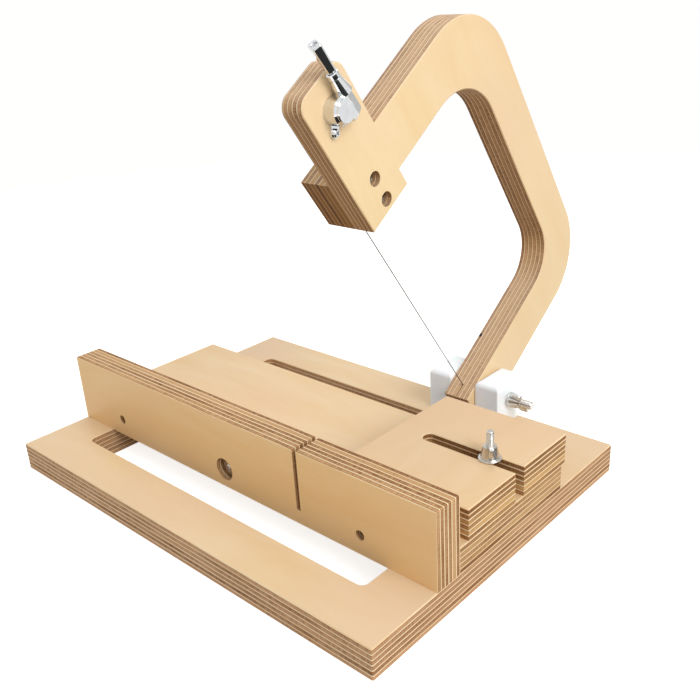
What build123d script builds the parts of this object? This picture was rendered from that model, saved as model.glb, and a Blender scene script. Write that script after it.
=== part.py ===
from build123d import *
from math import acos, atan2, cos, degrees, hypot, pi, radians, sin, sqrt
import os

os.makedirs("parts", exist_ok=True)

# Wire cutter for bars of soap. Millimetres. The origin is the middle of the base's underside,
# +X runs along the fence, +Y from the front to the back and +Z up. The arm stands raised.

# Sheet material
ply = 18.0
bed_thickness = 15.0
edge_softening = 0.5

# Base frame, a ring around one window
base_length = 300.0
base_depth = 222.0
window_length = 238.6
window_front = -81.6
window_back = 79.5
window_corner = 4.0

# Bed, fence and the wire's kerf
bed_front = -45.6
bed_back = 49.5
bed_bottom = ply
bed_top = bed_bottom + bed_thickness
fence_height = 45.0
fence_back = bed_front
fence_front = fence_back - ply
wire_x = 58.3
kerf_width = 3.0
kerf_floor = 26.5

# Fastenings of the fence
fence_screw_xs = (-104.9, 102.0)
fence_fastener_z = 29.6
fence_screw_bore = 5.8
fence_screw_recess = 7.0
fence_stud_x = -2.4
fence_stud_bore = 13.9
fence_stud_recess = 8.0
fence_shank_radius = 1.75
fence_pilot_depth = 24.0

# Stop, its slot and its bolt
stop_left = 70.0
stop_right = 150.0
stop_front = -38.6
stop_back = 53.0
slot_y = 6.7
slot_width = 8.0
slot_end = 92.7
stop_bolt_x = 131.8
stop_bolt_top = 67.5
stop_bolt_diameter = 4.0

# Pivot: white blocks on the back border, with the arm's foot between them
pivot_y = 99.5
pivot_z = 34.0
bolt_diameter = 5.0
block_width = 17.2
block_front = 86.0
block_back = 115.6
block_top = 47.0
block_rounding = 4.0
side_gap = 0.3
pivot_bolt_end = 101.5
running_gap = 0.08
fixed_gap = 0.05

# Arm: a C-shaped plate. Its own axes start at the pivot: u runs out along the wire,
# v square to it, away from the bed.
raised_angle = 54.9
leg_front = 14.4
leg_rear = -15.8
foot_v = -15.8
bar_inner_v = 105.5
bar_outer_v = 134.8
limb_inner_u = 177.0
limb_outer_u = 208.4
head_near_u = 166.0
head_far_u = 249.6
head_low_v = -8.3
head_high_v = 25.9
corner_rear_outer = 42.0
corner_front_outer = 45.5
corner_rear_inner = 26.0
corner_front_inner = 34.0
head_corner = 7.4
head_thickness = 12.9

# Guide block on the head
guide_far_u = 197.8
guide_thickness = 19.8
guide_screw_us = (172.5, 187.0)
guide_screw_v = 9.0
guide_screw_bore = 8.0
guide_screw_recess = 6.0
guide_screw_shank = 4.0
guide_screw_length = 22.0

# Wire
wire_diameter = 0.6
wire_v = -6.2
slit_width = 1.0
slit_top = wire_v + 0.4
ball_u = 8.0
ball_diameter = 4.0
ball_length = 4.0
ball_bore = 4.6

# Tuner: a small worm-geared machine on the head's right face
post_u = 232.8
post_v = 8.0
tuner_turn = 3.3
worm_offset = 7.2
worm_height = 4.6
case_radius = 6.9
case_height = 7.8
case_floor = 1.6
tube_near = -8.9
tube_far = 5.6
tube_inner = 2.0
tube_ridge = 5.8
tube_outer = 10.8
tube_top_height = 7.5
tube_side_height = 5.7
gear_radius = 5.0
gear_teeth = 15
worm_radius = 2.0
post_radius = 3.0
post_waist = 2.8
post_tenon = 2.1
barrel_radius = 4.9
sleeve_radius = 4.0
lug_offset = 7.1
lug_radius = 2.6
lug_thickness = 1.6
cap_radius = 5.85
cap_rise = 0.9
neck_end = 13.2
neck_base_radius = 4.3
neck_tip_radius = 2.8
collar_radius = 3.0
collar_end = 16.6
shaft_radius = 1.5
shaft_end = 27.1
button_end = 32.3
button_width = 7.1
button_depth = 4.9
button_turn = -28.0
button_recess = 1.6
small_screw_radius = 0.9

# Winding of the wire on the post
winding_pitch = 1.1
winding_turns = 3.5
winding_step = 0.65

# Derived places
arm_left = wire_x - ply / 2
arm_right = arm_left + ply
head_left = arm_right - head_thickness
bolt_radius = bolt_diameter / 2
wire_radius = wire_diameter / 2
arm_angle = radians(raised_angle)
key_angle = radians(raised_angle - tuner_turn)
arm_out = Vector(0, -cos(arm_angle), sin(arm_angle))
arm_up = Vector(0, sin(arm_angle), cos(arm_angle))
key_out = Vector(0, -cos(key_angle), sin(key_angle))
key_in_plane = Vector(0, sin(key_angle), cos(key_angle))


def arm_point(u, v, x):
    """A point of the raised arm from its own u and v."""
    return Vector(x, pivot_y, pivot_z) + arm_out * u + arm_up * v


def arm_side(x):
    """A plane along the arm at x whose normal points to the left side."""
    return Plane(origin=(x, pivot_y, pivot_z), x_dir=arm_out, z_dir=(-1, 0, 0))


def tuner_deck(height):
    """A plane parallel to the head's right face, centred on the tuner's post."""
    centre = arm_point(post_u, post_v, arm_right + height)
    return Plane(origin=centre, x_dir=key_out, z_dir=(1, 0, 0))


worm_origin = arm_point(post_u, post_v, arm_right + worm_height) + key_in_plane * worm_offset
worm_axis = Axis(worm_origin, key_out)
worm_profile = Plane(origin=worm_origin, x_dir=key_out, z_dir=(1, 0, 0))
post_axis = Axis(arm_point(post_u, post_v, 0), (1, 0, 0))
post_profile = Plane(origin=arm_point(post_u, post_v, arm_right), x_dir=(1, 0, 0),
                     z_dir=(0, 0, 1))


def worm_section_plane(distance):
    """A plane across the worm's axis, at a distance along the key from the post."""
    return Plane(origin=worm_origin + key_out * distance, x_dir=(1, 0, 0), z_dir=key_out)


def save(piece, name):
    """Name a finished piece and write it to its own file."""
    piece.part.label = name
    export_step(piece.part, f"parts/{name}.step")


def turned(points, plane, axis):
    """A solid of revolution from the corners of half its section."""
    with BuildPart() as piece:
        with BuildSketch(plane):
            with BuildLine():
                Polyline(*points, close=True)
            make_face()
        revolve(axis=axis)
    return piece.part


def countersunk_screw(head_diameter, shank_diameter, length):
    """A cross-recessed wood screw that points up, with its head's face at the origin."""
    head = head_diameter / 2
    shank = shank_diameter / 2
    cone = head - shank
    tip = 1.6 * shank
    section = [(0, 0), (head, 0), (head, 0.3), (shank, 0.3 + cone)]
    section += [(shank, length - tip), (0.2, length), (0, length)]
    body = turned(section, Plane.XZ, Axis.Z)
    return cross_recess(body, head_diameter, cone)


def pan_screw(head_diameter, head_height, shank_diameter, length, point=True):
    """A pan-headed screw that points up from under its head, with the head below."""
    head = head_diameter / 2
    shank = shank_diameter / 2
    tip = 1.6 * shank if point else 0.5
    end = 0.2 if point else shank - 0.5
    rim = 0.35 * head_height
    section = [(0, -head_height), (0.7 * head, -head_height), (head, -head_height + rim)]
    section += [(head, 0), (shank, 0), (shank, length - tip), (end, length), (0, length)]
    body = turned(section, Plane.XZ, Axis.Z)
    return cross_recess(body, head_diameter, 0.5 * head_height, -head_height)


def cross_recess(body, head_diameter, depth, face=0.0):
    """The body with a cross cut up into its head's face."""
    long_side = 0.56 * head_diameter
    short_side = 0.13 * head_diameter
    with BuildPart() as piece:
        add(body)
        with BuildSketch(Plane.XY.offset(face)):
            Rectangle(long_side, short_side)
            Rectangle(short_side, long_side)
        extrude(amount=depth, mode=Mode.SUBTRACT)
    return piece.part


def washer(outer_diameter, inner_diameter, thickness):
    """A flat washer that stands on the XY plane."""
    with BuildPart() as piece:
        with BuildSketch():
            Circle(outer_diameter / 2)
            Circle(inner_diameter / 2, mode=Mode.SUBTRACT)
        extrude(amount=thickness)
        rims = piece.edges().filter_by(GeomType.CIRCLE).sort_by(SortBy.RADIUS)[-2:]
        chamfer(rims, 0.2)
    return piece.part


# Wing nut, made standing on the XY plane with its wings along X
nut_base_radius = 5.0
nut_top_radius = 3.7
nut_hub_height = 6.6
wing_reach = 9.6
wing_height = 10.2
wing_thickness = 2.4


def wing_nut(bore_diameter):
    """A turned hub with two rounded wings and a smooth bore."""
    with BuildPart() as piece:
        with BuildSketch(Plane.XZ) as wings:
            for side in (-1, 1):
                with BuildLine():
                    Polyline(
                        (side * 2.9, 0.9),
                        (side * (nut_base_radius + 0.4), 0.9),
                        (side * wing_reach, 5.2),
                        (side * wing_reach, wing_height),
                        (side * 5.6, wing_height),
                        (side * 2.9, nut_hub_height - 0.6),
                        close=True,
                    )
                make_face()
            tips = wings.vertices().group_by(Axis.X)
            fillet(tips[0] + tips[-1], 1.9)
        extrude(amount=wing_thickness / 2, both=True)
        fillet(piece.faces().filter_by(Axis.Y).edges(), 0.5)
        with BuildSketch(Plane.XZ):
            with BuildLine():
                Polyline(
                    (0, 0),
                    (nut_base_radius, 0),
                    (nut_base_radius, 1.2),
                    (nut_top_radius, nut_hub_height),
                    (0, nut_hub_height),
                    close=True,
                )
            make_face()
        revolve(axis=Axis.Z)
        Hole(bore_diameter / 2 + fixed_gap)
    return piece.part


# Base frame. The bed, the stop's bolt and the blocks are screwed to it from below.
bed_screw_spots = [(x, y) for x in (-134.5, 134.5) for y in (-30.0, 35.0)]
block_left_x = arm_left - side_gap - block_width / 2
block_right_x = arm_right + side_gap + block_width / 2
block_screw_spots = [(x, y) for x in (block_left_x, block_right_x) for y in (91.5, 105.0)]
wood_screw_head = 7.6
wood_screw_shank = 3.8
wood_screw_length = 28.0
block_screw_length = 34.0
head_sink = 0.3
stop_bolt_head = 9.0
stop_bolt_recess = 4.4

with BuildPart() as base_frame:
    with BuildSketch():
        Rectangle(base_length, base_depth)
    extrude(amount=ply)
    fillet(base_frame.edges().filter_by(Axis.Z), 1.0)
    window_depth = window_back - window_front
    with BuildSketch() as window:
        with Locations((0, (window_back + window_front) / 2)):
            RectangleRounded(window_length, window_depth, window_corner)
    extrude(amount=ply, mode=Mode.SUBTRACT)
    chamfer(base_frame.faces().sort_by(Axis.Z)[-1].edges(), edge_softening)
    chamfer(base_frame.faces().sort_by(Axis.Z)[0].edges(), edge_softening)
    with Locations(Plane.XY.rotated((180, 0, 0))):
        with Locations(*[(x, -y) for x, y in bed_screw_spots + block_screw_spots]):
            CounterSinkHole(
                wood_screw_shank / 2 + fixed_gap,
                wood_screw_head / 2 + 2 * head_sink + fixed_gap,
                counter_sink_angle=90,
            )
        with Locations((stop_bolt_x, -slot_y)):
            CounterBoreHole(
                stop_bolt_diameter / 2 + fixed_gap,
                stop_bolt_head / 2 + 0.3,
                stop_bolt_recess,
            )
save(base_frame, "base_frame")

# Bed board with the groove that the lowered wire ends in
bed_middle = (bed_front + bed_back) / 2
with BuildPart() as bed_board:
    with BuildSketch(Plane.XY.offset(bed_bottom)):
        with Locations((0, bed_middle)):
            Rectangle(base_length, bed_back - bed_front)
    extrude(amount=bed_thickness)
    chamfer(bed_board.faces().sort_by(Axis.Z)[-1].edges(), edge_softening)
    with BuildSketch(Plane.XY.offset(kerf_floor)):
        with Locations((wire_x, bed_middle)):
            Rectangle(kerf_width, base_depth)
    extrude(amount=ply, mode=Mode.SUBTRACT)
    with BuildSketch(Plane.XY.offset(bed_bottom)):
        with Locations(*bed_screw_spots):
            Circle(wood_screw_shank / 2 + fixed_gap)
    extrude(amount=wood_screw_length - ply + 1, mode=Mode.SUBTRACT)
    with BuildSketch(Plane.XY.offset(bed_bottom)):
        with Locations((stop_bolt_x, slot_y)):
            Circle(stop_bolt_diameter / 2 + fixed_gap)
    extrude(amount=bed_thickness, mode=Mode.SUBTRACT)
    with BuildSketch(Plane.XZ.offset(-bed_front)):
        with Locations(*[(x, fence_fastener_z) for x in fence_screw_xs + (fence_stud_x,)]):
            Circle(fence_shank_radius + fixed_gap)
    extrude(amount=-fence_pilot_depth, mode=Mode.SUBTRACT)
save(bed_board, "bed_board")

# Fence
with BuildPart() as fence:
    with BuildSketch(Plane.XY.offset(bed_bottom)):
        with Locations((0, (fence_front + fence_back) / 2)):
            Rectangle(base_length, ply)
    extrude(amount=fence_height)
    chamfer(fence.faces().sort_by(Axis.Z)[-1].edges(), edge_softening)
    with BuildSketch(Plane.XZ.offset(-fence_front)):
        with Locations((wire_x, kerf_floor + fence_height / 2)):
            Rectangle(kerf_width, fence_height)
    extrude(amount=-ply, mode=Mode.SUBTRACT)
    with Locations(Plane.XZ.offset(-fence_front)):
        with Locations(*[(x, fence_fastener_z) for x in fence_screw_xs]):
            CounterBoreHole(
                fence_shank_radius + fixed_gap, fence_screw_bore / 2, fence_screw_recess
            )
        with Locations((fence_stud_x, fence_fastener_z)):
            CounterBoreHole(
                fence_shank_radius + fixed_gap, fence_stud_bore / 2, fence_stud_recess
            )
save(fence, "fence")


# The fence's fasteners lie along +Y, from their recesses into the bed's front edge
def front_spot(x, y):
    """A plane at the fence's fastener height that faces back, into the bed."""
    return Plane(origin=(x, y, fence_fastener_z), x_dir=(1, 0, 0), z_dir=(0, 1, 0))


small_screw = pan_screw(5.2, 2.0, 2 * fence_shank_radius, 30.0)
with BuildPart() as fence_screws:
    with Locations(*[front_spot(x, fence_front + fence_screw_recess) for x in fence_screw_xs]):
        add(small_screw)
save(fence_screws, "fence_screws")

stud_washer_thickness = 1.0
stud_nut_height = 3.2
stud_seat = fence_front + fence_stud_recess
with BuildPart() as fence_washer:
    with Locations(front_spot(fence_stud_x, stud_seat - stud_washer_thickness)):
        add(washer(11.0, 3.7, stud_washer_thickness))
save(fence_washer, "fence_washer")

with BuildPart() as fence_nut:
    with BuildSketch(front_spot(fence_stud_x, stud_seat - stud_washer_thickness)):
        RegularPolygon(4.0, 6, major_radius=False)
        Circle(fence_shank_radius + fixed_gap, mode=Mode.SUBTRACT)
    extrude(amount=-stud_nut_height)
save(fence_nut, "fence_nut")

with BuildPart() as fence_stud:
    with BuildSketch(front_spot(fence_stud_x, fence_front + 2.6)):
        Circle(fence_shank_radius)
    extrude(amount=36.0)
    chamfer(fence_stud.edges().filter_by(GeomType.CIRCLE), 0.4)
save(fence_stud, "fence_stud")

# Screws from below
bed_screw = countersunk_screw(wood_screw_head, wood_screw_shank, wood_screw_length)
with BuildPart() as bed_screws:
    with Locations(*[(x, y, head_sink) for x, y in bed_screw_spots]):
        add(bed_screw)
save(bed_screws, "bed_screws")

block_screw = countersunk_screw(wood_screw_head, wood_screw_shank, block_screw_length)
with BuildPart() as pivot_block_screws:
    with Locations(*[(x, y, head_sink) for x, y in block_screw_spots]):
        add(block_screw)
save(pivot_block_screws, "pivot_block_screws")


def pivot_block(middle_x):
    """A block of the pivot, rounded along its top, with the axle's bore across it."""
    with BuildPart() as block:
        with BuildSketch(Plane.XY.offset(ply)):
            with Locations((middle_x, (block_front + block_back) / 2)):
                Rectangle(block_width, block_back - block_front)
        extrude(amount=block_top - ply)
        fillet(block.faces().sort_by(Axis.Z)[-1].edges(), block_rounding)
        fillet(block.edges().filter_by(Axis.Z), 0.8)
        with BuildSketch(Plane.YZ.offset(middle_x - block_width / 2)):
            with Locations((pivot_y, pivot_z)):
                Circle(bolt_radius + fixed_gap)
        extrude(amount=block_width, mode=Mode.SUBTRACT)
        with BuildSketch(Plane.XY.offset(ply)):
            with Locations(*[(x, y) for x, y in block_screw_spots if abs(x - middle_x) < 1]):
                Circle(wood_screw_shank / 2 + fixed_gap)
        extrude(amount=block_screw_length - ply + 1, mode=Mode.SUBTRACT)
    return block


save(pivot_block(block_left_x), "pivot_block_left")
save(pivot_block(block_right_x), "pivot_block_right")

# Axle of the arm, with a washer at each end and a wing nut at the right
washer_thickness = 1.0
axle_washer_diameter = 10.0
stop_washer_diameter = 12.4
block_left_face = block_left_x - block_width / 2
block_right_face = block_right_x + block_width / 2


def axle_spot(x, turn=0.0):
    """A plane across the axle at x that faces right, turned about it by some degrees."""
    across = (0, cos(radians(turn)), sin(radians(turn)))
    return Plane(origin=(x, pivot_y, pivot_z), x_dir=across, z_dir=(1, 0, 0))


axle_washer = washer(axle_washer_diameter, bolt_diameter + 2 * fixed_gap, washer_thickness)
with BuildPart() as pivot_washer_left:
    with Locations(axle_spot(block_left_face - washer_thickness)):
        add(axle_washer)
save(pivot_washer_left, "pivot_washer_left")

with BuildPart() as pivot_washer_right:
    with Locations(axle_spot(block_right_face)):
        add(axle_washer)
save(pivot_washer_right, "pivot_washer_right")

axle_start = block_left_face - washer_thickness
hex_head_height = 3.5
with BuildPart() as pivot_bolt:
    with BuildSketch(axle_spot(axle_start)):
        Circle(bolt_radius)
    extrude(amount=pivot_bolt_end - axle_start)
    chamfer(pivot_bolt.edges().filter_by(GeomType.CIRCLE).sort_by(Axis.X)[-1], 0.5)
    with BuildSketch(axle_spot(axle_start)):
        RegularPolygon(4.0, 6, major_radius=False)
    extrude(amount=-hex_head_height)
save(pivot_bolt, "pivot_bolt")

wing_turn_pivot = -54.0
nut_clearance = 0.1
pivot_nut = wing_nut(bolt_diameter)
with BuildPart() as pivot_wing_nut:
    nut_foot_x = block_right_face + washer_thickness + nut_clearance
    with Locations(axle_spot(nut_foot_x, wing_turn_pivot)):
        add(pivot_nut)
save(pivot_wing_nut, "pivot_wing_nut")

# Arm plate: outline, thinner head, axle bore, wire slits, ball bore and the tuner's hole
outline = [
    (leg_front, foot_v),
    (leg_front, bar_inner_v),
    (limb_inner_u, bar_inner_v),
    (limb_inner_u, head_high_v),
    (head_near_u, head_high_v),
    (head_near_u, head_low_v),
    (head_far_u, head_low_v),
    (head_far_u, head_high_v),
    (limb_outer_u, head_high_v),
    (limb_outer_u, bar_outer_v),
    (leg_rear, bar_outer_v),
    (leg_rear, foot_v),
]
rounded_corners = [
    (leg_front, bar_inner_v, corner_rear_inner),
    (limb_inner_u, bar_inner_v, corner_front_inner),
    (limb_outer_u, bar_outer_v, corner_front_outer),
    (leg_rear, bar_outer_v, corner_rear_outer),
    (head_far_u, head_low_v, head_corner),
    (head_far_u, head_high_v, head_corner),
    (leg_rear, foot_v, -foot_v),
]

# The wire runs straight to the head, then slants left and up to the post's tangent
winding_radius = post_waist + wire_radius + fixed_gap
wire_bend = (head_near_u + 1.0, wire_v)
to_post_u = post_u - wire_bend[0]
to_post_v = post_v - wire_bend[1]
post_distance = hypot(to_post_u, to_post_v)
slant = atan2(to_post_v, to_post_u) - acos(sqrt(1 - (winding_radius / post_distance) ** 2))
slant_length = sqrt(post_distance**2 - winding_radius**2)
tangent_u = wire_bend[0] + slant_length * cos(slant)
tangent_v = wire_bend[1] + slant_length * sin(slant)
bushing_height = 2.0
bushing_face = head_left - bushing_height
wire_end_x = bushing_face - 1.35
groove_length = 41.0
groove_depth = wire_x + wire_diameter - head_left

with BuildPart() as arm_plate:
    with BuildSketch(arm_side(arm_right)) as arm_face:
        with BuildLine():
            Polyline(*outline, close=True)
        make_face()
        for u, v, radius in rounded_corners:
            fillet(arm_face.vertices().sort_by_distance((u, v))[0], radius)
    extrude(amount=ply)
    chamfer(arm_plate.faces().filter_by(Axis.X).edges(), edge_softening)
    with BuildSketch(arm_side(head_left)):
        with Locations(((head_near_u + head_far_u) / 2, head_high_v - 25)):
            Rectangle(2 * (head_far_u - head_near_u), 50)
    extrude(amount=ply, mode=Mode.SUBTRACT)
    with BuildSketch(arm_side(arm_right)):
        Circle(bolt_radius + running_gap)
    extrude(amount=ply, mode=Mode.SUBTRACT)
    with BuildSketch(arm_side(arm_right)):
        with Locations((ball_u, wire_v)):
            Circle(ball_bore / 2)
    extrude(amount=ply / 2 + ball_length / 2 + 0.3, mode=Mode.SUBTRACT)
    with BuildSketch(arm_side(wire_x + slit_width / 2)):
        with Locations(((ball_u + leg_front + 5) / 2, (slit_top + foot_v - 5) / 2)):
            Rectangle(leg_front + 5 - ball_u, slit_top - foot_v + 5)
    extrude(amount=slit_width, mode=Mode.SUBTRACT)
    with BuildSketch(arm_side(head_left + groove_depth)):
        middle = groove_length / 2 - 2
        groove_spot = (wire_bend[0] + middle * cos(slant), wire_bend[1] + middle * sin(slant))
        with Locations(Location(groove_spot, degrees(slant))):
            Rectangle(groove_length, slit_width)
    extrude(amount=ply, mode=Mode.SUBTRACT)
    with BuildSketch(arm_side(arm_right)):
        with Locations(*[(u, guide_screw_v) for u in guide_screw_us]):
            Circle(guide_screw_shank / 2 + 0.2)
    extrude(amount=ply, mode=Mode.SUBTRACT)
    with BuildSketch(arm_side(arm_right)):
        with Locations(*[(u, guide_screw_v) for u in guide_screw_us]):
            Circle(guide_screw_bore / 2)
    extrude(amount=guide_screw_recess, mode=Mode.SUBTRACT)
    with BuildSketch(arm_side(arm_right)):
        with Locations((post_u, post_v)):
            Circle(barrel_radius + fixed_gap)
    extrude(amount=ply, mode=Mode.SUBTRACT)
    with BuildSketch(tuner_deck(0)):
        with Locations((-lug_offset, lug_offset)):
            Circle(1.2 + fixed_gap)
    extrude(amount=-9, mode=Mode.SUBTRACT)
save(arm_plate, "arm_plate")

# Guide block with the pilot holes of its two screws
with BuildPart() as guide_block:
    with BuildSketch(arm_side(head_left)):
        guide_middle = ((head_near_u + guide_far_u) / 2, (head_low_v + head_high_v) / 2)
        with Locations(guide_middle):
            Rectangle(guide_far_u - head_near_u, head_high_v - head_low_v)
    extrude(amount=guide_thickness)
    chamfer(guide_block.faces().sort_by(Axis.X)[0].edges(), edge_softening)
    with BuildSketch(arm_side(head_left)):
        with Locations(*[(u, guide_screw_v) for u in guide_screw_us]):
            Circle(guide_screw_shank / 2 + fixed_gap)
    pilot_depth = guide_screw_length + guide_screw_recess - head_thickness + 0.5
    extrude(amount=pilot_depth, mode=Mode.SUBTRACT)
save(guide_block, "guide_block")

guide_screw = pan_screw(7.4, 2.6, guide_screw_shank, guide_screw_length)
with BuildPart() as guide_block_screws:
    screw_seat = arm_right - guide_screw_recess
    spots = [arm_point(u, guide_screw_v, screw_seat) for u in guide_screw_us]
    with Locations(*[Plane(origin=p, x_dir=arm_out, z_dir=(-1, 0, 0)) for p in spots]):
        add(guide_screw)
save(guide_block_screws, "guide_block_screws")

# Stop with its open slot, the bolt through bed and base, and the clamp
with BuildPart() as stop_block:
    with BuildSketch(Plane.XY.offset(bed_top)):
        with Locations(((stop_left + stop_right) / 2, (stop_front + stop_back) / 2)):
            Rectangle(stop_right - stop_left, stop_back - stop_front)
    extrude(amount=ply)
    with BuildSketch(Plane.XY.offset(bed_top)):
        with Locations((slot_end, slot_y)):
            Circle(slot_width / 2)
        with Locations(((slot_end + stop_right + 5) / 2, slot_y)):
            Rectangle(stop_right + 5 - slot_end, slot_width)
    extrude(amount=ply, mode=Mode.SUBTRACT)
    chamfer(stop_block.faces().sort_by(Axis.Z)[-1].edges(), edge_softening)
save(stop_block, "stop_block")

stop_bolt_length = stop_bolt_top - stop_bolt_recess
clamp_bolt = pan_screw(stop_bolt_head, 3.4, stop_bolt_diameter, stop_bolt_length, False)
with BuildPart() as stop_bolt:
    with Locations((stop_bolt_x, slot_y, stop_bolt_recess)):
        add(clamp_bolt)
save(stop_bolt, "stop_bolt")

stop_top = bed_top + ply
clamp_gap = 0.1
with BuildPart() as stop_washer:
    with Locations((stop_bolt_x, slot_y, stop_top + clamp_gap)):
        add(washer(stop_washer_diameter, stop_bolt_diameter + 2 * fixed_gap, washer_thickness))
save(stop_washer, "stop_washer")

wing_turn_stop = 128.0
clamp_nut = wing_nut(stop_bolt_diameter)
with BuildPart() as stop_wing_nut:
    nut_foot = (stop_bolt_x, slot_y, stop_top + clamp_gap + washer_thickness)
    with Locations(Location(nut_foot, (0, 0, wing_turn_stop))):
        add(clamp_nut)
save(stop_wing_nut, "stop_wing_nut")

# Tuner housing: worm tube with a sloping back, gear case, neck, lug, and the barrel
# through the head. The tube's section is drawn across the worm, from the head's face up.
tube_bottom = -worm_height
tube_slope = [
    (tube_side_height - worm_height, tube_outer - worm_offset),
    (tube_top_height - worm_height, tube_ridge - worm_offset),
]
case_bevel = 1.0
with BuildPart() as tuner_housing:
    with BuildSketch(worm_section_plane(tube_near)) as tube_section:
        with BuildLine():
            Polyline(
                (tube_bottom, tube_inner - worm_offset),
                (tube_bottom, tube_outer - worm_offset),
                *tube_slope,
                (tube_top_height - worm_height, tube_inner - worm_offset),
                close=True,
            )
        make_face()
        for corner in tube_slope:
            fillet(tube_section.vertices().sort_by_distance(corner)[0], 1.2)
    extrude(amount=tube_far - tube_near)
    outer_side = tuner_housing.faces().sort_by(Axis((0, 0, 0), key_in_plane))[-1]
    fillet(outer_side.edges().filter_by(Axis.X), 1.4)
    with BuildSketch(post_profile):
        with BuildLine():
            Polyline((0, 0), (0, case_radius), (case_height - case_bevel, case_radius),
                     (case_height, case_radius - case_bevel), (case_height, 0), close=True)
        make_face()
    revolve(axis=post_axis)
    with BuildSketch(tuner_deck(0)):
        half = lug_offset / 2
        SlotCenterPoint((-half, half), (-lug_offset, lug_offset), 2 * lug_radius)
    extrude(amount=lug_thickness)
    with BuildSketch(worm_section_plane(tube_far - 1.0)):
        Circle(neck_base_radius)
    with BuildSketch(worm_section_plane(neck_end)):
        Circle(neck_tip_radius)
    loft()
    with BuildSketch(tuner_deck(0)):
        Circle(barrel_radius)
    extrude(amount=-9.0)
    with BuildSketch(tuner_deck(case_floor)):
        Circle(gear_radius + 0.4)
    extrude(amount=case_height, mode=Mode.SUBTRACT)
    with BuildSketch(tuner_deck(-9.0)):
        Circle(post_radius + running_gap)
    extrude(amount=20, mode=Mode.SUBTRACT)
    with BuildSketch(tuner_deck(-9.0)):
        Circle(sleeve_radius + fixed_gap)
    extrude(amount=8.0, mode=Mode.SUBTRACT)
    with BuildSketch(worm_section_plane(-5.0)):
        Circle(worm_radius + running_gap)
    extrude(amount=30, mode=Mode.SUBTRACT)
    with BuildSketch(tuner_deck(-9.0)):
        with Locations((-lug_offset, lug_offset)):
            Circle(1.3)
    extrude(amount=20, mode=Mode.SUBTRACT)
save(tuner_housing, "tuner_housing")

# Flat cap with a bevelled rim, pressed into the gear case
cap_bevel = 0.5
cap_plane = Plane(origin=arm_point(post_u, post_v, arm_right + case_height), x_dir=(1, 0, 0),
                  z_dir=(0, 0, 1))
with BuildPart() as tuner_cap:
    with BuildSketch(cap_plane):
        with BuildLine():
            Polyline((-1.0, 0), (-1.0, gear_radius + 0.35), (0, gear_radius + 0.35),
                     (0, cap_radius), (cap_rise - cap_bevel, cap_radius),
                     (cap_rise, cap_radius - cap_bevel), (cap_rise, 0), close=True)
        make_face()
    revolve(axis=post_axis)
save(tuner_cap, "tuner_cap")

# Collar that keeps the worm shaft in the neck
with BuildPart() as tuner_collar:
    with BuildSketch(worm_profile):
        with BuildLine():
            Polyline((neck_end, shaft_radius + running_gap),
                     (neck_end, collar_radius - 0.4), (neck_end + 0.5, collar_radius),
                     (collar_end - 0.5, collar_radius), (collar_end, collar_radius - 0.5),
                     (collar_end, shaft_radius + running_gap), close=True)
        make_face()
    revolve(axis=worm_axis)
save(tuner_collar, "tuner_collar")

# Key: worm with its shaft, the button and the screw in the button's end
worm_ring_pitch = 1.4
worm_rings = 6
worm_root = 1.55
worm_section = [(-4.8, 0), (-4.8, worm_root)]
for ring in range(worm_rings):
    start = -4.4 + ring * worm_ring_pitch
    worm_section += [(start, worm_root), (start + 0.35, worm_radius),
                     (start + 0.7, worm_radius), (start + 1.05, worm_root)]
worm_section += [(4.6, worm_root), (5.0, worm_radius), (neck_end - 0.1, worm_radius),
                 (neck_end - 0.1, shaft_radius), (shaft_end, shaft_radius), (shaft_end, 0)]
with BuildPart() as tuner_worm_shaft:
    with BuildSketch(worm_profile):
        with BuildLine():
            Polyline(*worm_section, close=True)
        make_face()
    revolve(axis=worm_axis)
save(tuner_worm_shaft, "tuner_worm_shaft")

# Button: a bar that widens outward and stands turned about the shaft
button_start = collar_end + 0.2
button_sections = [
    (button_start, 4.6, 4.2, 2.0),
    (button_start + 1.0, 5.6, 4.5, 1.2),
    (button_end - 0.6, button_width, button_depth, 1.0),
    (button_end, button_width - 0.8, button_depth - 0.8, 0.7),
]
with BuildPart() as tuner_button:
    for distance, width, depth, corner in button_sections:
        with BuildSketch(worm_section_plane(distance)):
            with Locations(Location((0, 0), button_turn)):
                RectangleRounded(width, depth, corner)
    loft(ruled=True)
    with BuildSketch(worm_section_plane(button_start)):
        Circle(shaft_radius + fixed_gap)
    extrude(amount=shaft_end + fixed_gap - button_start, mode=Mode.SUBTRACT)
    with BuildSketch(worm_section_plane(button_start)):
        Circle(small_screw_radius + fixed_gap)
    extrude(amount=button_end - button_start, mode=Mode.SUBTRACT)
    with BuildSketch(worm_section_plane(button_end - button_recess)):
        Circle(1.7)
    extrude(amount=button_recess, mode=Mode.SUBTRACT)
save(tuner_button, "tuner_button")

screw_room = button_end - button_recess - shaft_end
screw_into_button = pan_screw(3.2, 1.2, 2 * small_screw_radius, screw_room - 0.2, False)
with BuildPart() as tuner_button_screw:
    screw_head_at = worm_axis.position + key_out * (button_end - button_recess)
    with Locations(Plane(origin=screw_head_at, x_dir=(1, 0, 0), z_dir=-key_out)):
        add(screw_into_button)
save(tuner_button_screw, "tuner_button_screw")

# Worm wheel on the post, and its screw under the cap
gear_floor = case_floor + 0.2
gear_height = 3.9
tooth_depth = 0.9
with BuildPart() as tuner_gear:
    with BuildSketch(tuner_deck(gear_floor)):
        Circle(gear_radius - tooth_depth)
        with PolarLocations(gear_radius - tooth_depth / 2 - 0.1, gear_teeth):
            Rectangle(tooth_depth + 0.2, 0.95)
        Circle(post_tenon + fixed_gap, mode=Mode.SUBTRACT)
    extrude(amount=gear_height)
save(tuner_gear, "tuner_gear")

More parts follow.
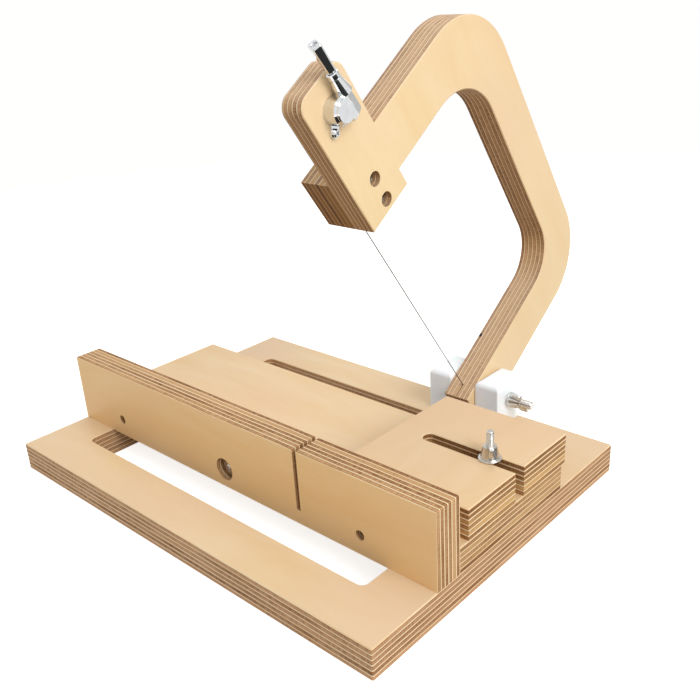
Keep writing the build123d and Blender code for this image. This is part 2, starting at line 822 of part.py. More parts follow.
# Post: journal in the housing and the bushing, a waist for the wire, a round cap
post_end_height = -(arm_right - bushing_face) - 8.2
waist_start = -(arm_right - bushing_face) - 0.7
waist_end = post_end_height + 1.6
with BuildPart() as tuner_post:
    with BuildSketch(post_profile):
        with BuildLine():
            Polyline(
                (post_end_height, 0),
                (post_end_height, post_radius - 0.5),
                (post_end_height + 0.5, post_radius),
                (waist_end, post_radius),
                (waist_end + 0.3, post_waist),
                (waist_start - 0.3, post_waist),
                (waist_start, post_radius),
                (gear_floor, post_radius),
                (gear_floor, post_tenon),
                (gear_floor + gear_height, post_tenon),
                (gear_floor + gear_height, small_screw_radius + fixed_gap),
                (gear_floor + 0.4, small_screw_radius + fixed_gap),
                (gear_floor + 0.4, 0),
                close=True,
            )
        make_face()
    revolve(axis=post_axis)
save(tuner_post, "tuner_post")

gear_screw = pan_screw(5.0, 0.7, 2 * small_screw_radius, gear_height - 0.6, False)
with BuildPart() as tuner_gear_screw:
    gear_screw_seat = arm_point(post_u, post_v, arm_right + gear_floor + gear_height)
    with Locations(Plane(origin=gear_screw_seat, x_dir=key_out, z_dir=(-1, 0, 0))):
        add(gear_screw)
save(tuner_gear_screw, "tuner_gear_screw")

# Bushing with a hexagon collar, and the washer under it, on the head's left face
tuner_washer_thickness = 0.5
with BuildPart() as tuner_washer:
    with BuildSketch(tuner_deck(-head_thickness)):
        Circle(6.4)
        Circle(sleeve_radius + 0.2, mode=Mode.SUBTRACT)
    extrude(amount=-tuner_washer_thickness)
save(tuner_washer, "tuner_washer")

hex_depth = bushing_height - tuner_washer_thickness
with BuildPart() as tuner_bushing:
    with BuildSketch(tuner_deck(-head_thickness - tuner_washer_thickness)):
        RegularPolygon(5.0, 6, major_radius=False)
    extrude(amount=-hex_depth)
    with BuildSketch(tuner_deck(-head_thickness - tuner_washer_thickness)):
        Circle(sleeve_radius)
    extrude(amount=head_thickness + tuner_washer_thickness - 1.3)
    with BuildSketch(tuner_deck(-head_thickness - bushing_height)):
        Circle(post_radius + running_gap)
    extrude(amount=ply, mode=Mode.SUBTRACT)
save(tuner_bushing, "tuner_bushing")

lug_screw = pan_screw(4.2, 1.5, 2.4, 9.0)
with BuildPart() as tuner_mount_screw:
    lug_spot = tuner_deck(lug_thickness).from_local_coords((-lug_offset, lug_offset, 0))
    with Locations(Plane(origin=lug_spot, x_dir=key_out, z_dir=(-1, 0, 0))):
        add(lug_screw)
save(tuner_mount_screw, "tuner_mount_screw")

# Ball that anchors the wire in the foot
with BuildPart() as wire_ball_end:
    ball_centre = arm_point(ball_u, wire_v, wire_x)
    with BuildSketch(Plane(origin=ball_centre, x_dir=(1, 0, 0), z_dir=(0, 0, 1))):
        with BuildLine():
            half = ball_length / 2
            Polyline((-half, 0), (-half, 1.6), (-half + 0.4, ball_diameter / 2),
                     (half - 0.4, ball_diameter / 2), (half, 1.6), (half, 0), close=True)
        make_face()
    revolve(axis=Axis(ball_centre, (1, 0, 0)))
save(wire_ball_end, "wire_ball_end")

# Cutting wire: straight from the ball to the head, then slanting to the post
wire_start = arm_point(ball_u + ball_diameter / 2, wire_v, wire_x)
wire_corner = arm_point(wire_bend[0], wire_bend[1], wire_x)
wire_tangent = arm_point(tangent_u, tangent_v, wire_end_x)
bend_radius = 12.0
with BuildPart() as cutting_wire:
    with BuildLine() as wire_path:
        FilletPolyline(wire_start, wire_corner, wire_tangent, radius=bend_radius)
    with BuildSketch(Plane(origin=wire_start, z_dir=arm_out)):
        Circle(wire_radius)
    sweep()
save(cutting_wire, "cutting_wire")
path_length = wire_path.wires()[0].length
print("wire length", round(path_length, 1),
      "volume ratio", round(cutting_wire.part.volume / (pi * wire_radius**2 * path_length), 4))

# Winding: a helix of arcs around the post's waist, with a short straight lead and tail
winding_x = wire_end_x - winding_step


def winding_point(turn):
    """A point of the helix and the direction that it runs in."""
    angle = slant - pi / 2 + 2 * pi * turn
    u = post_u + winding_radius * cos(angle)
    v = post_v + winding_radius * sin(angle)
    point = arm_point(u, v, winding_x - winding_pitch * turn)
    along = (arm_up * cos(angle) - arm_out * sin(angle)) * (2 * pi * winding_radius)
    return point, (along - Vector(winding_pitch, 0, 0)).normalized()


def biarc(start, start_way, end, end_way):
    """Two arcs that leave start and reach end in the given directions."""
    span = end - start
    total = start_way + end_way
    square = total.dot(total) - 4
    linear = -2 * span.dot(total)
    reach = (-linear - sqrt(linear**2 - 4 * square * span.dot(span))) / (2 * square)
    first = start + start_way * reach
    second = end - end_way * reach
    joint = (first + second) * 0.5
    TangentArc(start, joint, tangent=start_way)
    TangentArc(joint, end, tangent=(second - first).normalized())


quarter = 0.25
with BuildPart() as wire_winding:
    with BuildLine() as winding_path:
        lead_end, lead_way = winding_point(0)
        lead_start = lead_end - lead_way * wire_diameter
        Line(lead_start, lead_end)
        for step in range(round(winding_turns / quarter)):
            here, here_way = winding_point(step * quarter)
            there, there_way = winding_point((step + 1) * quarter)
            biarc(here, here_way, there, there_way)
        Line(there, there + there_way * 2.0)
    with BuildSketch(Plane(origin=lead_start, z_dir=lead_way)):
        Circle(wire_radius)
    sweep()
save(wire_winding, "wire_winding")
winding_length = winding_path.wires()[0].length
print("winding gap", round(winding_pitch - wire_diameter, 2), "length", round(winding_length, 1),
      "volume ratio", round(wire_winding.part.volume / (pi * wire_radius**2 * winding_length), 4))
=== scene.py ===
# %% [markdown]
# A soap cutter, dressed for a picture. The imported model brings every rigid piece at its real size,
# in metres, in one frame: +X along the fence, +Y to the back, +Z up. This script never moves those
# pieces. It gives them wood, plastic and metal, adds the threads of two bolts, and sets up a plain
# studio.
# %% Load the frame
from math import cos, pi, radians, sin, tan
import bpy
import bmesh
from mathutils import Matrix, Vector


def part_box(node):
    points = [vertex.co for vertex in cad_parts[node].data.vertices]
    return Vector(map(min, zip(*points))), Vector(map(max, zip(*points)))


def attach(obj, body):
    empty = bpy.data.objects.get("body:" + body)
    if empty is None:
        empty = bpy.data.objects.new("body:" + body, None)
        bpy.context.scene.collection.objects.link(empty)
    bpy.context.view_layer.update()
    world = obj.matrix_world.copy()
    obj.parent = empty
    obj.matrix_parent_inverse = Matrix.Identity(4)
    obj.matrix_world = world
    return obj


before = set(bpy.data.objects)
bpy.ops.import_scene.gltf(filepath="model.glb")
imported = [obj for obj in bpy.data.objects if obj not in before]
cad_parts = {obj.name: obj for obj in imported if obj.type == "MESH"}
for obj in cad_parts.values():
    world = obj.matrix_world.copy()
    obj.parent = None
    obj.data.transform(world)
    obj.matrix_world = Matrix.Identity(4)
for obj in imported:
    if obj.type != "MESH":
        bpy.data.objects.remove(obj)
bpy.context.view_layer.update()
MM = 0.001

# %% [markdown]
# The camera comes first, because everything later is judged through it. A square picture and a
# normal lens give a pinhole camera, and six numbers place it: where it stands, which way it looks
# round and down, and a slight tilt of the horizon. A rotation matrix is clearer than Euler angles
# here, since the tilt is the first turn that the camera makes about its own axis.
# %% Camera
CAMERA_PLACE = Vector((346.7, -319.9, 281.9)) * MM
CAMERA_TURN = 43.57
CAMERA_DIP = 23.17
CAMERA_TILT = -3.43
VIEW_ANGLE = 44.61

camera_data = bpy.data.cameras.new("studio_camera")
camera_data.sensor_fit = "HORIZONTAL"
camera_data.sensor_width = 36.0
camera_data.lens = camera_data.sensor_width / 2 / tan(radians(VIEW_ANGLE / 2))
camera = bpy.data.objects.new("studio_camera", camera_data)
bpy.context.collection.objects.link(camera)
turn = Matrix.Rotation(radians(CAMERA_TURN), 4, "Z")
dip = Matrix.Rotation(radians(90 - CAMERA_DIP), 4, "X")
tilt = Matrix.Rotation(radians(CAMERA_TILT), 4, "Z")
camera.matrix_world = Matrix.Translation(CAMERA_PLACE) @ turn @ dip @ tilt
bpy.context.scene.camera = camera
print("lens", round(camera_data.lens, 2), "mm")

# %% [markdown]
# Colours are easiest to name as a paint chart does, from 0 to 255, but shaders work with the
# amount of light, so one small function converts them. Node trees are long when every link is
# written out, so a small bench keeps one tree and adds a node, feeds its sockets and hands back
# its output in one call. The mixing node has several sockets of the same name, one set for each
# kind of value, so the bench picks those for colours by their numbers.
# %% Colour and a bench for node trees
def paint(red, green, blue):
    """Turns chart values from 0 to 255 into the linear colour that a shader needs."""
    share = [v / 255 for v in (red, green, blue)]
    linear = [v / 12.92 if v <= 0.04045 else ((v + 0.055) / 1.055) ** 2.4 for v in share]
    return (*linear, 1.0)


MIX_FIRST, MIX_SECOND, MIX_RESULT = 6, 7, 2


class Bench:
    """Builds one node tree, a node at a time."""

    def __init__(self, tree):
        self.tree = tree

    def feed(self, socket, value):
        if isinstance(value, bpy.types.NodeSocket):
            self.tree.links.new(value, socket)
        elif value is not None:
            socket.default_value = value

    def add(self, kind, inputs=(), output=0, **settings):
        node = self.tree.nodes.new("ShaderNode" + kind)
        for name, value in settings.items():
            setattr(node, name, value)
        for key, value in dict(inputs).items():
            self.feed(node.inputs[key], value)
        return node.outputs[output]

    def sum(self, operation, first, second=None, third=None, clamp=False):
        values = {0: first, 1: second, 2: third}
        return self.add("Math", values, operation=operation, use_clamp=clamp)

    def along(self, vector, direction):
        values = {0: vector, 1: direction}
        return self.add("VectorMath", values, "Value", operation="DOT_PRODUCT")

    def place(self, x, y, z):
        return self.add("CombineXYZ", {0: x, 1: y, 2: z})

    def cloud(self, vector, scale, detail=3.0, roughness=0.5, distortion=0.0):
        values = {"Vector": vector, "Scale": scale, "Detail": detail}
        values.update({"Roughness": roughness, "Distortion": distortion})
        return self.add("TexNoise", values)

    def span(self, value, low, high, to_low=0.0, to_high=1.0):
        values = {0: value, 1: low, 2: high, 3: to_low, 4: to_high}
        return self.add("MapRange", values)

    def blend(self, share, first, second, kind="MIX"):
        values = {0: share, MIX_FIRST: first, MIX_SECOND: second}
        settings = {"data_type": "RGBA", "blend_type": kind, "clamp_result": True}
        return self.add("Mix", values, MIX_RESULT, **settings)

    def bump(self, height, strength, distance, below=None):
        values = {"Height": height, "Strength": strength, "Distance": distance}
        if below is not None:
            values["Normal"] = below
        return self.add("Bump", values)


def new_finish(name):
    """A material with one principled shader, ready for its colour."""
    material = bpy.data.materials.new(name)
    material.use_nodes = True
    tree = material.node_tree
    tree.nodes.clear()
    output = tree.nodes.new("ShaderNodeOutputMaterial")
    shader = tree.nodes.new("ShaderNodeBsdfPrincipled")
    tree.links.new(shader.outputs[0], output.inputs[0])
    return material, Bench(tree), shader


def dress(material, *nodes):
    """Gives one finish to pieces of the model."""
    for name in nodes:
        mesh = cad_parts[name].data
        mesh.materials.clear()
        mesh.materials.append(material)


# %% [markdown]
# Birch plywood is the whole look of this tool. It is a stack of thirteen veneers, each about 1.4 mm
# thick, laid crosswise in turn. A face shows one pale, smooth veneer with soft clouds and short
# hairs, while an edge shows the stack. A photograph of wood could be projected on the pieces, but
# it would smear along the edges, so the finish is worked out from where each point lies in the
# sheet. The first step is the face: a warm figure stretched along the grain, rosy patches, and fine
# hairs. Each of the three turns the veneer's own colour down by its own shares of red, green and
# blue. The seed moves the clouds, so no two boards are alike.
# %% Face veneer
WARM_SHIFT = (0.95, 0.87, 0.74)
PINK_SHIFT = (0.94, 0.87, 0.88)
FLECK_SHIFT = (0.74, 0.60, 0.44)
FIGURE_SCALE = 46
FIGURE_STRETCH = 0.22
PATCH_SCALE = 8
HAIR_SCALE = 2300
HAIR_STRETCH = 0.07
HAIR_SHARE = 0.3


def shifted(colour, shift):
    """A colour with each of its three lights turned down by a share."""
    return (*[light * share for light, share in zip(colour, shift)], 1.0)


def face_veneer(bench, with_grain, cross_grain, veneer, seed):
    """Colour of a sanded birch face, and the height of its hairs."""
    stretched = bench.place(bench.sum("MULTIPLY", with_grain, FIGURE_STRETCH), cross_grain, seed)
    figure = bench.cloud(stretched, FIGURE_SCALE, 4, 0.55, 0.8)
    patches = bench.cloud(bench.place(with_grain, cross_grain, seed + 3), PATCH_SCALE, 2, 0.5)
    hair_run = bench.sum("MULTIPLY", with_grain, HAIR_STRETCH)
    hairs = bench.cloud(bench.place(hair_run, cross_grain, seed + 5), HAIR_SCALE, 2, 0.6)
    warm = bench.blend(bench.span(figure, 0.3, 0.72, 0, 1.0), veneer, shifted(veneer, WARM_SHIFT))
    rosy = bench.blend(bench.span(patches, 0.35, 0.7, 0, 1.0), warm, shifted(veneer, PINK_SHIFT))
    flecked = bench.span(hairs, 0.6, 0.8, 0, HAIR_SHARE)
    return bench.blend(flecked, rosy, shifted(veneer, FLECK_SHIFT)), hairs


# %% [markdown]
# On an edge each veneer is a stripe. Those that run along the edge are cream, and those that end
# there are open grain, tan with a brown rim where the glue soaked in. No two stripes are equally
# dark, because every veneer comes from another sheet, and each one darkens and clears along its
# length. Pressing squeezes the cream veneers thinner, and sanding takes half of the two outermost,
# so a wave on the depth widens the tan ones. The stripe's number picks its darkness, and a hatch of
# fine noise stands for the cut pores. Over all of it comes the burn of the cutter, with painted
# shade added on the edges that face down. A painted highlight makes the edges that face up paler,
# and then come the brown lines of glue. A few short gaps in the core stay open, coloured near black
# as painted shade inside them.
#
# The colours come first below, then how fine each noise is, where a larger number is finer, and
# then how far each effect goes. SWAY and OPEN_GAIN count in plies, and the others are shares.
# %% Stripes of the edge
PLY_CREAM = paint(243, 219, 180)
PLY_STRAW = paint(228, 193, 142)
PLY_BROWN = paint(134, 88, 50)
# The next colour is a painted highlight, laid over the edges that face up.
PAINTED_HIGHLIGHT_PALE = paint(216, 194, 174)
# The next colour is the cutter's burn, and on edges that face down it also serves as painted shade.
BURN_AND_SHADE = paint(160, 139, 111)
GLUE = paint(96, 58, 32)
# The next colour is painted shade, the darkness inside the open gaps of the core.
GAP_SHADE = paint(38, 22, 13)
SWAY_SCALE = 26
HATCH_SCALE = 1500
DRIFT_SCALE = 22
GAP_SCALE = 48
SWAY = 0.22
OPEN_GAIN = 0.15
STRAW_SHARE = 0.7
CREAM_RIM_SHARE = 0.45
LUCK_LOW, LUCK_HIGH = -0.6, 0.45
FADING = 0.4
PORE_SHARE = 0.75
OPEN_RIM_SHARE = 0.6
GLUE_SHARE = 0.75
GAP_LEVEL = 0.785


def edge_stripes(bench, run, level, plies, tan_colour, burn_and_shade, painted_paling, seed):
    """Colour of the stack of veneers, and the height of its stripes."""
    with_grain, cross_grain = run
    swell = bench.cloud(bench.place(with_grain, cross_grain, seed), SWAY_SCALE, 2)
    sway = bench.span(swell, 0, 1, -SWAY, SWAY)
    even = bench.sum("ADD", bench.sum("MULTIPLY_ADD", level, plies - 1, 0.5), sway)
    wave = bench.sum("COSINE", bench.sum("MULTIPLY", even, pi))
    stack = bench.sum("ADD", even, bench.sum("MULTIPLY_ADD", wave, -OPEN_GAIN, OPEN_GAIN))
    number = bench.sum("FLOOR", stack)
    inside = bench.sum("FRACT", stack)
    odd = bench.sum("PINGPONG", number, 1)
    ticket = bench.sum("ADD", number, seed)
    luck = bench.add("TexWhiteNoise", {"W": ticket}, noise_dimensions="1D")
    own = bench.place(with_grain, cross_grain, bench.sum("MULTIPLY", number, 0.31))
    hatch = bench.cloud(own, HATCH_SCALE, 2, 0.7)
    drift = bench.cloud(own, DRIFT_SCALE, 3, 0.6)
    rim = bench.sum("MULTIPLY", bench.sum("ABSOLUTE", bench.sum("SUBTRACT", inside, 0.5)), 2)

    cream = bench.blend(bench.span(drift, 0.35, 0.7, 0, STRAW_SHARE), PLY_CREAM, PLY_STRAW)
    cream = bench.blend(bench.span(rim, 0.3, 0.85, 0, CREAM_RIM_SHARE), cream, tan_colour)
    fading = bench.span(drift, 0.3, 0.7, -FADING, FADING)
    darkness = bench.sum("ADD", bench.span(luck, 0, 1, LUCK_LOW, LUCK_HIGH), fading)
    pores = bench.span(hatch, 0.38, 0.66, 0, PORE_SHARE)
    rims = bench.span(rim, 0.35, 0.95, 0, OPEN_RIM_SHARE)
    brown_share = bench.sum("ADD", bench.sum("ADD", darkness, pores), rims, clamp=True)
    open_grain = bench.blend(brown_share, tan_colour, PLY_BROWN)
    stripes = bench.blend(odd, cream, open_grain)
    # Cutter's burn, with painted shade added where the edge faces down.
    stripes = bench.blend(burn_and_shade, stripes, BURN_AND_SHADE, "MULTIPLY")
    # Painted highlight: the edges that face up turn paler.
    stripes = bench.blend(painted_paling, stripes, PAINTED_HIGHLIGHT_PALE)
    glued = bench.blend(bench.span(rim, 0.8, 1.0, 0, GLUE_SHARE), stripes, GLUE)

    gap_spot = bench.place(with_grain, cross_grain, bench.sum("MULTIPLY", number, 0.7))
    gap_cloud = bench.cloud(gap_spot, GAP_SCALE, 1, 0.4)
    shaded_gaps = bench.sum("MULTIPLY", odd, bench.span(gap_cloud, GAP_LEVEL, GAP_LEVEL + 0.01))
    ridges = bench.sum("SUBTRACT", bench.span(rim, 0.5, 1, 1, 0.2), shaded_gaps)
    height = bench.sum("ADD", ridges, bench.sum("MULTIPLY", hatch, 0.5))
    # The gaps are coloured near black as painted shade; their lowered height is real relief.
    return bench.blend(shaded_gaps, glued, GAP_SHADE), height


# %% [markdown]
# The two looks meet at the arris. Which one shows at a point depends on the way the surface
# faces: along the sheet's thickness it is the face, across it the edge. Faces are sanded silky and
# edges stay rougher.
#
# Where a sheet lies and how thick it is come from the model. The rest is up to the board that it
# was cut from and to how the light falls on it. So each row of the table gives the way through its
# thickness, the way of its grain, its plies, the colours of its face and of its open grain, and
# three shares for its edges. These say how far the edges that face down are browned, by the
# cutter's burn with painted shade added, how far the cutter has browned the others, and how far a
# painted highlight pales those that face up. The bed is the thinner board, with fewer plies, and
# the grain of the arm and its guide block runs from the axle to the head.
# %% Plywood finishes, sheet by sheet
FACE_ROUGHNESS = 0.46
EDGE_ROUGHNESS = 0.74
STRIPE_RELIEF = 0.22
HAIR_RELIEF = 0.12


def birch(node, depth_way, grain_way, plies, colours, shares, seed):
    """Plywood whose sheet is square to depth_way, with its face veneer along grain_way."""
    depth_way, grain_way = Vector(depth_way), Vector(grain_way)
    first_face, last_face = [Vector(corner).dot(depth_way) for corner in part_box(node)]
    veneer, open_grain = [paint(*colour) for colour in colours]
    burn_and_shade_below, brown_above, painted_highlight_above = shares
    material, bench, shader = new_finish(f"birch_{node}")
    here = bench.add("TexCoord", output="Object")
    facing = bench.add("TexCoord", output="Normal")
    depth = bench.sum("SUBTRACT", bench.along(here, depth_way), first_face)
    level = bench.sum("DIVIDE", depth, last_face - first_face)
    run = bench.along(here, grain_way), bench.along(here, depth_way.cross(grain_way))
    face, hairs = face_veneer(bench, *run, veneer, seed)
    upward = bench.along(facing, (0, 0, 1))
    # Edges that face down get painted shade on top of the cutter's burn, and edges that face up get
    # a painted highlight.
    burn_and_shade_share = bench.span(upward, -0.6, 0.1, burn_and_shade_below, brown_above)
    painted_highlight_share = bench.span(upward, 0.1, 0.8, 0, painted_highlight_above)
    edge, stripes = edge_stripes(bench, run, level, plies, open_grain, burn_and_shade_share, painted_highlight_share, seed)
    upright = bench.sum("ABSOLUTE", bench.along(facing, depth_way))
    on_edge = bench.span(upright, 0.8, 0.7)
    bench.feed(shader.inputs["Base Color"], bench.blend(on_edge, face, edge))
    roughness = bench.span(on_edge, 0, 1, FACE_ROUGHNESS, EDGE_ROUGHNESS)
    bench.feed(shader.inputs["Roughness"], roughness)
    relief = bench.bump(bench.sum("MULTIPLY", stripes, on_edge), 0.45, STRIPE_RELIEF * MM)
    silk = bench.bump(bench.sum("MULTIPLY", hairs, 0.4), 0.2, HAIR_RELIEF * MM, relief)
    bench.feed(shader.inputs["Normal"], silk)
    shader.inputs["Specular IOR Level"].default_value = 0.3
    return material


PLIES = 13
BED_PLIES = 11
ARM_RAISED = radians(54.9)
SEED_STEP = 1.7

x_way, y_way, z_way = (1, 0, 0), (0, 1, 0), (0, 0, 1)
arm_way = (0, -cos(ARM_RAISED), sin(ARM_RAISED))
SHEETS = {
    "base_frame": (z_way, x_way, PLIES, ((230, 206, 170), (207, 161, 120)), (0.2, 0.12, 0.0)),
    "bed_board": (z_way, x_way, BED_PLIES, ((233, 206, 168), (208, 164, 112)), (0.2, 0.16, 0.0)),
    "fence": (y_way, x_way, PLIES, ((240, 204, 150), (206, 161, 113)), (0.2, 0.08, 0.0)),
    "stop_block": (z_way, y_way, PLIES, ((232, 204, 165), (210, 165, 106)), (0.2, 0.03, 0.0)),
    "arm_plate": (x_way, arm_way, PLIES, ((234, 210, 168), (207, 163, 118)), (0.68, 0.1, 0.25)),
    "guide_block": (x_way, arm_way, PLIES, ((230, 199, 152), (206, 163, 104)), (1.0, 0.15, 0.2)),
}
for order, (node, facts) in enumerate(SHEETS.items()):
    dress(birch(node, *facts, order * SEED_STEP), node)
print("plywood pieces", len(SHEETS))

# %% [markdown]
# The two pivot blocks are sawn from white nylon. It is nearly matt, a little see-through at its
# edges, and it keeps the fine marks of the saw, which lie level because the noise is squeezed in
# height. A touch of light under the surface softens it, and a trace of blue glow is painted light
# that lifts the blocks' shaded sides and tints them blue.
# %% White plastic
NYLON_LIGHT = paint(250, 253, 255)
NYLON_DARK = paint(244, 249, 254)
NYLON_SMOOTH, NYLON_ROUGH = 0.34, 0.46
MOTTLE_SCALE = 120
SAW_SCALE = 420
SAW_SQUEEZE = (1, 1, 14)
SAW_DEPTH = 0.1
SOFT_DEPTH = 2.0
PAINTED_BLUE_GLOW = paint(180, 226, 255)

white, bench, shader = new_finish("white_nylon")
here = bench.add("TexCoord", output="Object")
mottle = bench.cloud(here, MOTTLE_SCALE, 3)
squeezed = bench.add("VectorMath", {0: here, 1: SAW_SQUEEZE}, operation="MULTIPLY")
sawn = bench.cloud(squeezed, SAW_SCALE, 2)
tone = bench.blend(bench.span(mottle, 0.3, 0.7), NYLON_LIGHT, NYLON_DARK)
roughness = bench.span(mottle, 0.3, 0.7, NYLON_SMOOTH, NYLON_ROUGH)
bench.feed(shader.inputs["Base Color"], tone)
bench.feed(shader.inputs["Roughness"], roughness)
bench.feed(shader.inputs["Normal"], bench.bump(sawn, 0.12, SAW_DEPTH * MM))
shader.inputs["Subsurface Weight"].default_value = 0.15
shader.inputs["Subsurface Scale"].default_value = SOFT_DEPTH * MM
# The blue glow is painted light that lifts the blocks' shaded sides.
shader.inputs["Emission Color"].default_value = PAINTED_BLUE_GLOW
shader.inputs["Emission Strength"].default_value = 0.07
PIVOT_BLOCKS = ("pivot_block_left", "pivot_block_right")
dress(white, *PIVOT_BLOCKS)
print("white blocks", len(PIVOT_BLOCKS))

# %% [markdown]
# Four metals cover the rest. The tuner is chrome plated, so it is almost a mirror and takes its
# look from what stands around it. The bolts, nuts and washers are bright zinc plate, softer and
# faintly cloudy. The worm wheel and the ball on the wire are brass, and the wire is plain steel,
# darker than the plated pieces. One function makes them all from a colour, the two roughnesses
# that the metal wanders between, and the fineness and depth of its marks in micrometres.
# %% Metals
MICROMETRE = 0.000001
DULL_SHARE = 0.86


def metal(name, colour, smooth, rough, marks, depth):
    """A plated or bare metal whose roughness wanders between two values."""
    material, bench, shader = new_finish(name)
    here = bench.add("TexCoord", output="Object")
    cloudy = bench.cloud(here, 260, 4, 0.6)
    lines = bench.cloud(here, marks, 2, 0.7)
    bench.feed(shader.inputs["Roughness"], bench.span(cloudy, 0.3, 0.7, smooth, rough))
    dull = shifted(colour, (DULL_SHARE, DULL_SHARE, DULL_SHARE))
    tone = bench.blend(bench.span(cloudy, 0.35, 0.8), colour, dull)
    bench.feed(shader.inputs["Base Color"], tone)
    bench.feed(shader.inputs["Normal"], bench.bump(lines, 0.15, depth * MICROMETRE))
    shader.inputs["Metallic"].default_value = 1.0
    return material


chrome = metal("chrome_plate", paint(226, 228, 230), 0.04, 0.08, 900, 6)
zinc = metal("zinc_plate", paint(214, 212, 208), 0.2, 0.34, 1500, 60)
brass = metal("brass", paint(206, 168, 96), 0.2, 0.35, 1200, 50)
wire_steel = metal("wire_steel", paint(128, 128, 130), 0.3, 0.42, 2500, 30)
dress(chrome, "tuner_housing", "tuner_cap", "tuner_collar", "tuner_button", "tuner_worm_shaft",
      "tuner_post", "tuner_washer", "tuner_bushing", "tuner_mount_screw", "tuner_button_screw")
dress(zinc, "fence_screws", "fence_washer", "fence_nut", "fence_stud", "bed_screws",
      "pivot_block_screws", "pivot_washer_left", "pivot_washer_right", "pivot_bolt",
      "pivot_wing_nut", "guide_block_screws", "stop_bolt", "stop_washer", "stop_wing_nut",
      "tuner_gear_screw")
dress(brass, "tuner_gear", "wire_ball_end")
dress(wire_steel, "cutting_wire", "wire_winding")
print("metals", [m.name for m in (chrome, zinc, brass, wire_steel)])

# %% [markdown]
# The two bolts end in bare thread. The model keeps their shanks smooth, so the thread is added as
# one ridge that winds around the shank where it stands out of its wing nut. It is a ladder of
# small triangles carried round and along a helix, closed at both ends, with a foot that is sunk
# in the shank and a crest that is a hair wider than it. Over its first and last turn the crest
# swells and dies away. It rides with the bolt, so it stays still while the nut spins.
# %% Thread
THREAD_STEPS = 40
RIDGE = 0.16
FOOT_DEPTH = 0.06
CREST_DEPTH = 0.05
FLANK = 0.42


def thread(name, start, along, side, length, radius, pitch):
    """A screw ridge that starts at a point of a shank's axis, all in millimetres."""
    third = along.cross(side)
    turns = length / pitch
    count = int(turns * THREAD_STEPS)
    mesh = bmesh.new()
    rings = []
    for step in range(count + 1):
        angle = 2 * pi * step / THREAD_STEPS
        swell = min(1.0, step / THREAD_STEPS, (count - step) / THREAD_STEPS)
        out = side * cos(angle) + third * sin(angle)
        middle = start + along * (pitch * step / THREAD_STEPS)
        low = middle + out * (radius - FOOT_DEPTH) - along * (FLANK * pitch)
        high = middle + out * (radius - FOOT_DEPTH) + along * (FLANK * pitch)
        crest = middle + out * (radius - CREST_DEPTH + RIDGE * swell)
        rings.append([mesh.verts.new(corner * MM) for corner in (low, crest, high)])
    for one, two in zip(rings, rings[1:]):
        for edge in range(3):
            after = (edge + 1) % 3
            mesh.faces.new((one[edge], one[after], two[after], two[edge]))
    mesh.faces.new(reversed(rings[0]))
    mesh.faces.new(rings[-1])
    bmesh.ops.recalc_face_normals(mesh, faces=mesh.faces)
    data = bpy.data.meshes.new(name)
    mesh.to_mesh(data)
    mesh.free()
    piece = bpy.data.objects.new(name, data)
    bpy.context.collection.objects.link(piece)
    data.materials.append(zinc)
    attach(piece, "base")
    print(name, "turns", round(turns, 1))


# %% [markdown]
# The model says where each bolt and its nut lie, so the table holds only what a thread adds: which
# of the three axes the bolt follows, the radius and pitch of its size, and how much of its tip is
# chamfered and stays bare. The thread starts just past the hub of the nut.
# %% Threads on the two bolts
NUT_HUB = 6.6
NUT_GAP = 0.4
BOLTS = {
    "stop_bolt": ("stop_wing_nut", 2, 2.0, 0.7, 0.6),
    "pivot_bolt": ("pivot_wing_nut", 0, 2.5, 0.8, 0.8),
}
for bolt, (nut, axis, radius, pitch, bare_tip) in BOLTS.items():
    bolt_low, bolt_high = [Vector(corner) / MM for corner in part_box(bolt)]
    nut_low = Vector(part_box(nut)[0]) / MM
    along, side = Vector(), Vector()
    along[axis] = 1
    side[(axis + 1) % 3] = 1
    start = (bolt_low + bolt_high) / 2
    start[axis] = nut_low[axis] + NUT_HUB + NUT_GAP
    length = bolt_high[axis] - bare_tip - start[axis]
    thread(f"{bolt}_thread", start, along, side, length, radius, pitch)
print("threads", len(BOLTS))

# %% [markdown]
# The studio is a pale floor under an even white sky. A floor that is only lit never comes out
# evenly white, and brighter lamps would burn the wood, so the floor also glows, but only for the
# eye and for reflections. It throws no light on the tool, and it still takes the tool's shadow.
# Far from the tool the glow takes over, so that the floor runs into the backdrop with no horizon.
# Lengths are in metres here.
# %% Floor
FLOOR_SIZE = 12.0
FLOOR_COLOUR = paint(228, 228, 226)
BACKDROP = paint(255, 255, 254)
FLOOR_GLOW = 0.78
NEAR_TOOL, FAR_OFF = 0.5, 1.1


def only_seen(bench):
    """One for the eye, mirrors and glass, and nought for light on its way to other pieces."""
    path = bench.tree.nodes.new("ShaderNodeLightPath")
    seen = bench.sum("MAXIMUM", path.outputs["Is Camera Ray"], path.outputs["Is Glossy Ray"])
    return bench.sum("MAXIMUM", seen, path.outputs["Is Transmission Ray"])


def flat_square(name, size):
    """A single square face, lying flat."""
    mesh = bpy.data.meshes.new(name)
    half = size / 2
    corners = [(-half, -half, 0), (half, -half, 0), (half, half, 0), (-half, half, 0)]
    mesh.from_pydata(corners, [], [(0, 1, 2, 3)])
    piece = bpy.data.objects.new(name, mesh)
    bpy.context.collection.objects.link(piece)
    return piece


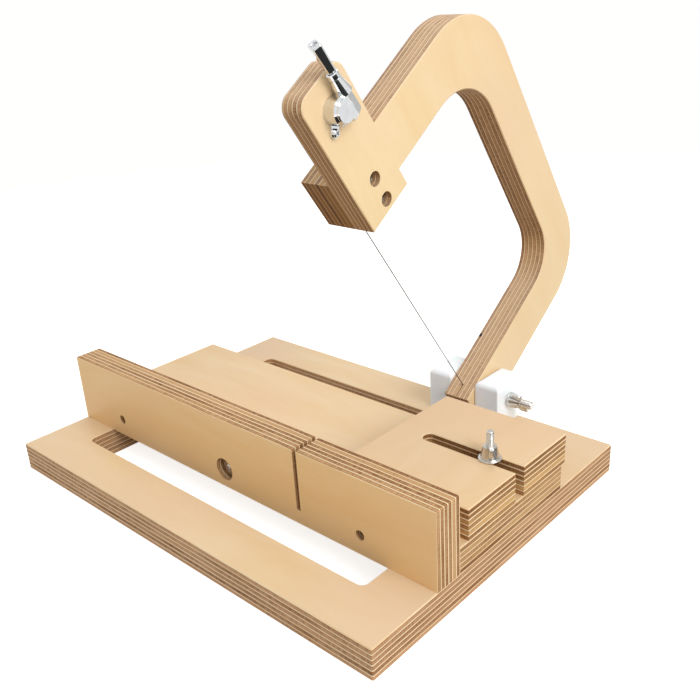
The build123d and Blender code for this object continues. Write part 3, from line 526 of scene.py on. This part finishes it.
floor_piece = flat_square("floor", FLOOR_SIZE)
floor_paint = bpy.data.materials.new("floor_paint")
floor_paint.use_nodes = True
bench = Bench(floor_paint.node_tree)
bench.tree.nodes.clear()
seen = only_seen(bench)
spot = bench.add("TexCoord", output="Object")
reach = bench.add("VectorMath", {0: spot}, "Value", operation="LENGTH")
far = bench.sum("MULTIPLY", bench.span(reach, NEAR_TOOL, FAR_OFF), seen)
matt = bench.add("BsdfDiffuse", {"Color": FLOOR_COLOUR})
glow_power = bench.sum("MULTIPLY", seen, FLOOR_GLOW)
glow = bench.add("Emission", {"Color": BACKDROP, "Strength": glow_power})
near_floor = bench.add("AddShader", {0: matt, 1: glow})
far_floor = bench.add("Emission", {"Color": BACKDROP, "Strength": 1.0})
output = bench.tree.nodes.new("ShaderNodeOutputMaterial")
bench.feed(output.inputs[0], bench.add("MixShader", {0: far, 1: near_floor, 2: far_floor}))
floor_piece.data.materials.append(floor_paint)
print("floor", FLOOR_SIZE, "m")

# %% [markdown]
# Most of the light comes from the sky, so that no side falls dark. A broad lamp high on the right
# makes the arm's face the brightest and shapes the edges, and a second one overhead lifts the
# tops. Broad lamps are chosen because small ones would print hard shadows on the wood. The table
# gives where each lamp stands and what it looks at in millimetres, its width in metres, and its
# power in watts.
# %% Sky and lamps
SKY_LIGHT = 0.52
LAMPS = {
    "key_lamp": ((1500, -250, 1100), (0, 0, 80), 1.1, 20),
    "top_lamp": ((-200, 300, 1700), (0, 0, 60), 1.2, 9),
}

world = bpy.data.worlds.new("studio_sky")
world.use_nodes = True
bpy.context.scene.world = world
bench = Bench(world.node_tree)
bench.tree.nodes.clear()
strength = bench.span(only_seen(bench), 0, 1, SKY_LIGHT, 1.0)
sky = bench.add("Background", {"Color": BACKDROP, "Strength": strength})
output = bench.tree.nodes.new("ShaderNodeOutputWorld")
bench.feed(output.inputs[0], sky)


def aim(thing, place, target):
    """Stands a thing at a place and turns its front to a target, both in millimetres."""
    start, end = Vector(place) * MM, Vector(target) * MM
    thing.location = start
    thing.rotation_mode = "QUATERNION"
    thing.rotation_quaternion = (end - start).to_track_quat("-Z", "Y")


def lamp(name, place, target, size, power):
    """A square soft lamp."""
    data = bpy.data.lights.new(name, "AREA")
    data.size = size
    data.energy = power
    thing = bpy.data.objects.new(name, data)
    bpy.context.collection.objects.link(thing)
    aim(thing, place, target)


for name, facts in LAMPS.items():
    lamp(name, *facts)
print("sky", SKY_LIGHT, "lamps", len(LAMPS))

# %% [markdown]
# Chrome in a white room would vanish, so a real studio stands cards just out of the picture. Only
# mirrors can see these: they throw no shade, and the camera looks straight through them. A black
# cloth lies on the floor to the right, and it darkens the front of the key and the middle of its
# neck. A pale card behind tones the sloping back of the housing, and a low black one in front
# gives the bolts and the lug a dark side. The table's columns are those of the lamps, with a shade
# of grey from 0 to 255 in place of the power.
# %% Cards for the chrome
CARDS = {
    "ground_cloth": ((605, 130, 3), (605, 130, 100), 0.9, 12),
    "back_card": ((215, 560, 300), (75, -20, 225), 0.34, 236),
    "front_card": ((120, -560, 60), (80, 0, 120), 0.36, 14),
}
for name, (place, target, size, shade) in CARDS.items():
    card_paint, bench, shader = new_finish(f"{name}_paint")
    shader.inputs["Base Color"].default_value = paint(shade, shade, shade)
    shader.inputs["Roughness"].default_value = 1.0
    card = flat_square(name, size)
    aim(card, place, target)
    card.data.materials.append(card_paint)
    card.visible_camera = False
    card.visible_diffuse = False
    card.visible_shadow = False
    card.visible_transmission = False
print("cards", len(CARDS))

bpy.context.scene.view_settings.view_transform = "Standard"
